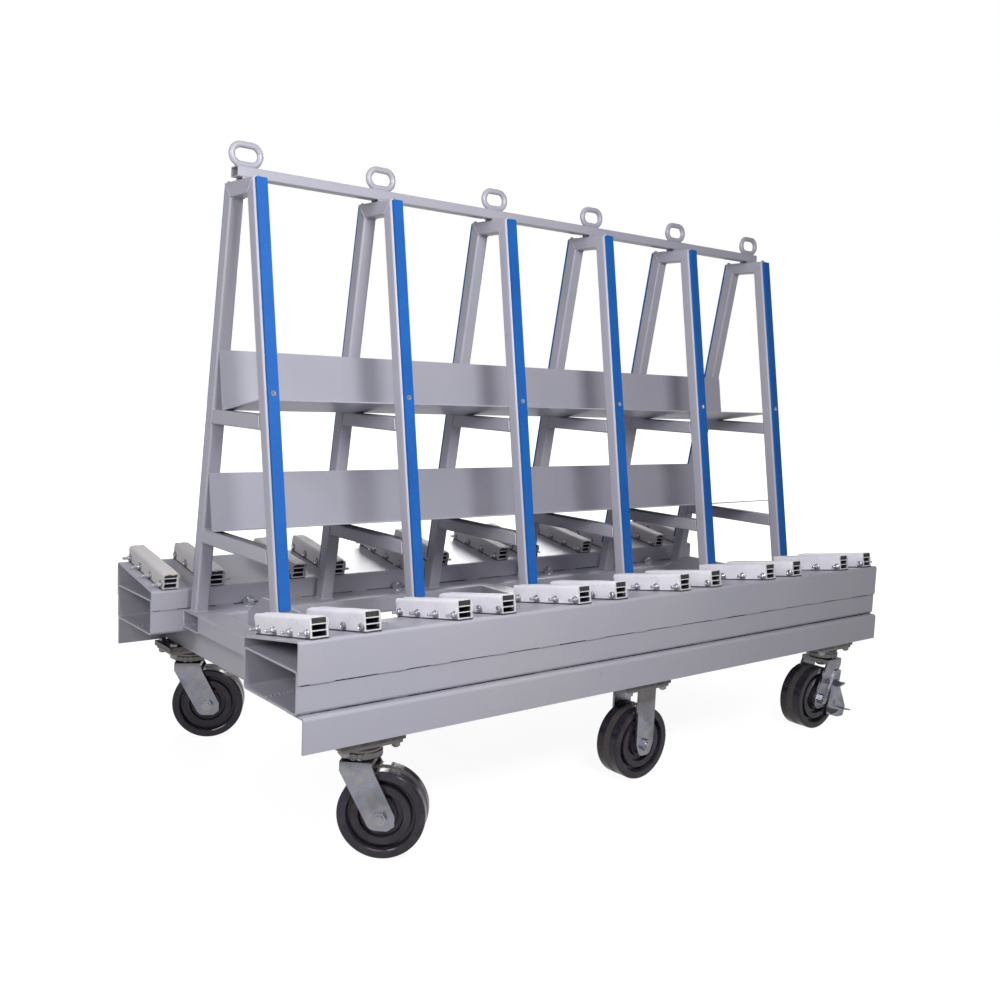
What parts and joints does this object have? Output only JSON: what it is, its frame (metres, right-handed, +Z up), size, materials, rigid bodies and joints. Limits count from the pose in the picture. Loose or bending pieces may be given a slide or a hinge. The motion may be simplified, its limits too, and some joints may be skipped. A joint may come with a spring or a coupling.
{
  "type": "sheet goods cart",
  "caption": "Grey steel sheet goods cart with sloping A-frames, blue leg strips, two sheet trays and padded decks on casters.",
  "frame": {"origin": "centre of the bounding box on the floor", "axes": "+X along the cart, towards the braked casters; +Y across it, towards the rear deck; +Z up"},
  "size_m": [2.1694, 1.2284, 1.6337],
  "materials": {
    "paint": "satin",
    "blue_strip": "satin",
    "bolt_zinc": "zinc plated",
    "caster_zinc": "zinc plated",
    "pad_base": "matte",
    "pad_alloy": "mill finish",
    "pad_rubber": "matte",
    "pad_cover": "matte",
    "wheel_resin": "glossy with worn tread",
    "bush_steel": "turned"
  },
  "bodies": {
    "frame": {"top_rail": "paint", "rail_spacers": "paint", "lifting_eyes": "paint", "top_tubes": "paint", "front_legs": "paint", "rear_legs": "paint", "upper_crossbars": "paint", "lower_crossbars": "paint", "upper_tray": "paint", "lower_tray": "paint", "front_leg_strips": "blue_strip", "rear_leg_strips": "blue_strip", "front_deck_tube": "paint", "rear_deck_tube": "paint", "front_deck_cap": "paint", "rear_deck_cap": "paint", "front_side_angle": "paint", "rear_side_angle": "paint", "front_longitudinal": "paint", "rear_longitudinal": "paint", "end_cross_tubes": "paint", "mid_cross_tube": "paint", "lower_crossmembers": "paint", "packing_plates": "paint", "bulkhead_plates": "paint", "frame_bolts": "bolt_zinc", "caster_pads": "paint", "swivel_top_plates": "caster_zinc", "caster_bolts": "bolt_zinc", "rigid_forks": "caster_zinc", "rigid_axles": "bolt_zinc", "pad_plates": "pad_base", "pad_cores": "pad_alloy", "pad_rubbers": "pad_rubber", "pad_covers": "pad_cover"},
    "front_left_swivel": {"front_left_fork": "caster_zinc", "front_left_axle": "bolt_zinc"},
    "rear_left_swivel": {"rear_left_fork": "caster_zinc", "rear_left_axle": "bolt_zinc"},
    "front_right_swivel": {"front_right_fork": "caster_zinc", "front_right_axle": "bolt_zinc", "front_brake_bracket": "caster_zinc"},
    "rear_right_swivel": {"rear_right_fork": "caster_zinc", "rear_right_axle": "bolt_zinc", "rear_brake_bracket": "caster_zinc"},
    "front_left_roller": {"front_left_wheel": "wheel_resin", "front_left_bush": "bush_steel"},
    "rear_left_roller": {"rear_left_wheel": "wheel_resin", "rear_left_bush": "bush_steel"},
    "front_right_roller": {"front_right_wheel": "wheel_resin", "front_right_bush": "bush_steel"},
    "rear_right_roller": {"rear_right_wheel": "wheel_resin", "rear_right_bush": "bush_steel"},
    "front_middle_roller": {"front_middle_wheel": "wheel_resin", "front_middle_bush": "bush_steel"},
    "rear_middle_roller": {"rear_middle_wheel": "wheel_resin", "rear_middle_bush": "bush_steel"},
    "front_brake": {"front_brake_pedal": "caster_zinc"},
    "rear_brake": {"rear_brake_pedal": "caster_zinc"}
  },
  "joints": [
    {"name": "front_left_swivel_turn", "type": "hinge", "parent": "frame", "child": "front_left_swivel", "pos_m": [-0.89, -0.48, 0.246], "axis": [0, 0, 1], "continuous": true},
    {"name": "rear_left_swivel_turn", "type": "hinge", "parent": "frame", "child": "rear_left_swivel", "pos_m": [-0.89, 0.48, 0.246], "axis": [0, 0, 1], "continuous": true},
    {"name": "front_right_swivel_turn", "type": "hinge", "parent": "frame", "child": "front_right_swivel", "pos_m": [0.89, -0.48, 0.246], "axis": [0, 0, 1], "continuous": true},
    {"name": "rear_right_swivel_turn", "type": "hinge", "parent": "frame", "child": "rear_right_swivel", "pos_m": [0.89, 0.48, 0.246], "axis": [0, 0, 1], "continuous": true},
    {"name": "front_left_wheel_spin", "type": "hinge", "parent": "front_left_swivel", "child": "front_left_roller", "pos_m": [-0.84834, -0.51817, 0.1016], "axis": [0.6756, 0.7373, 0], "continuous": true},
    {"name": "rear_left_wheel_spin", "type": "hinge", "parent": "rear_left_swivel", "child": "rear_left_roller", "pos_m": [-0.84107, 0.45175, 0.1016], "axis": [0.5, 0.866, 0], "continuous": true},
    {"name": "front_right_wheel_spin", "type": "hinge", "parent": "front_right_swivel", "child": "front_right_roller", "pos_m": [0.83351, -0.47901, 0.1016], "axis": [-0.0175, -0.9998, 0], "continuous": true},
    {"name": "rear_right_wheel_spin", "type": "hinge", "parent": "rear_right_swivel", "child": "rear_right_roller", "pos_m": [0.84956, 0.51946, 0.1016], "axis": [-0.6984, -0.7157, 0], "continuous": true},
    {"name": "front_middle_wheel_spin", "type": "hinge", "parent": "frame", "child": "front_middle_roller", "pos_m": [0, -0.48, 0.1016], "axis": [0, 1, 0], "continuous": true},
    {"name": "rear_middle_wheel_spin", "type": "hinge", "parent": "frame", "child": "rear_middle_roller", "pos_m": [0, 0.48, 0.1016], "axis": [0, 1, 0], "continuous": true},
    {"name": "front_brake_press", "type": "hinge", "parent": "front_right_swivel", "child": "front_brake", "pos_m": [0.89523, -0.5244, 0.084], "axis": [0.0175, 0.9998, 0], "range_deg": [0, 10]},
    {"name": "rear_brake_press", "type": "hinge", "parent": "rear_right_swivel", "child": "rear_brake", "pos_m": [0.86335, 0.4441, 0.084], "axis": [0.6984, 0.7157, 0], "range_deg": [0, 10]}
  ]
}
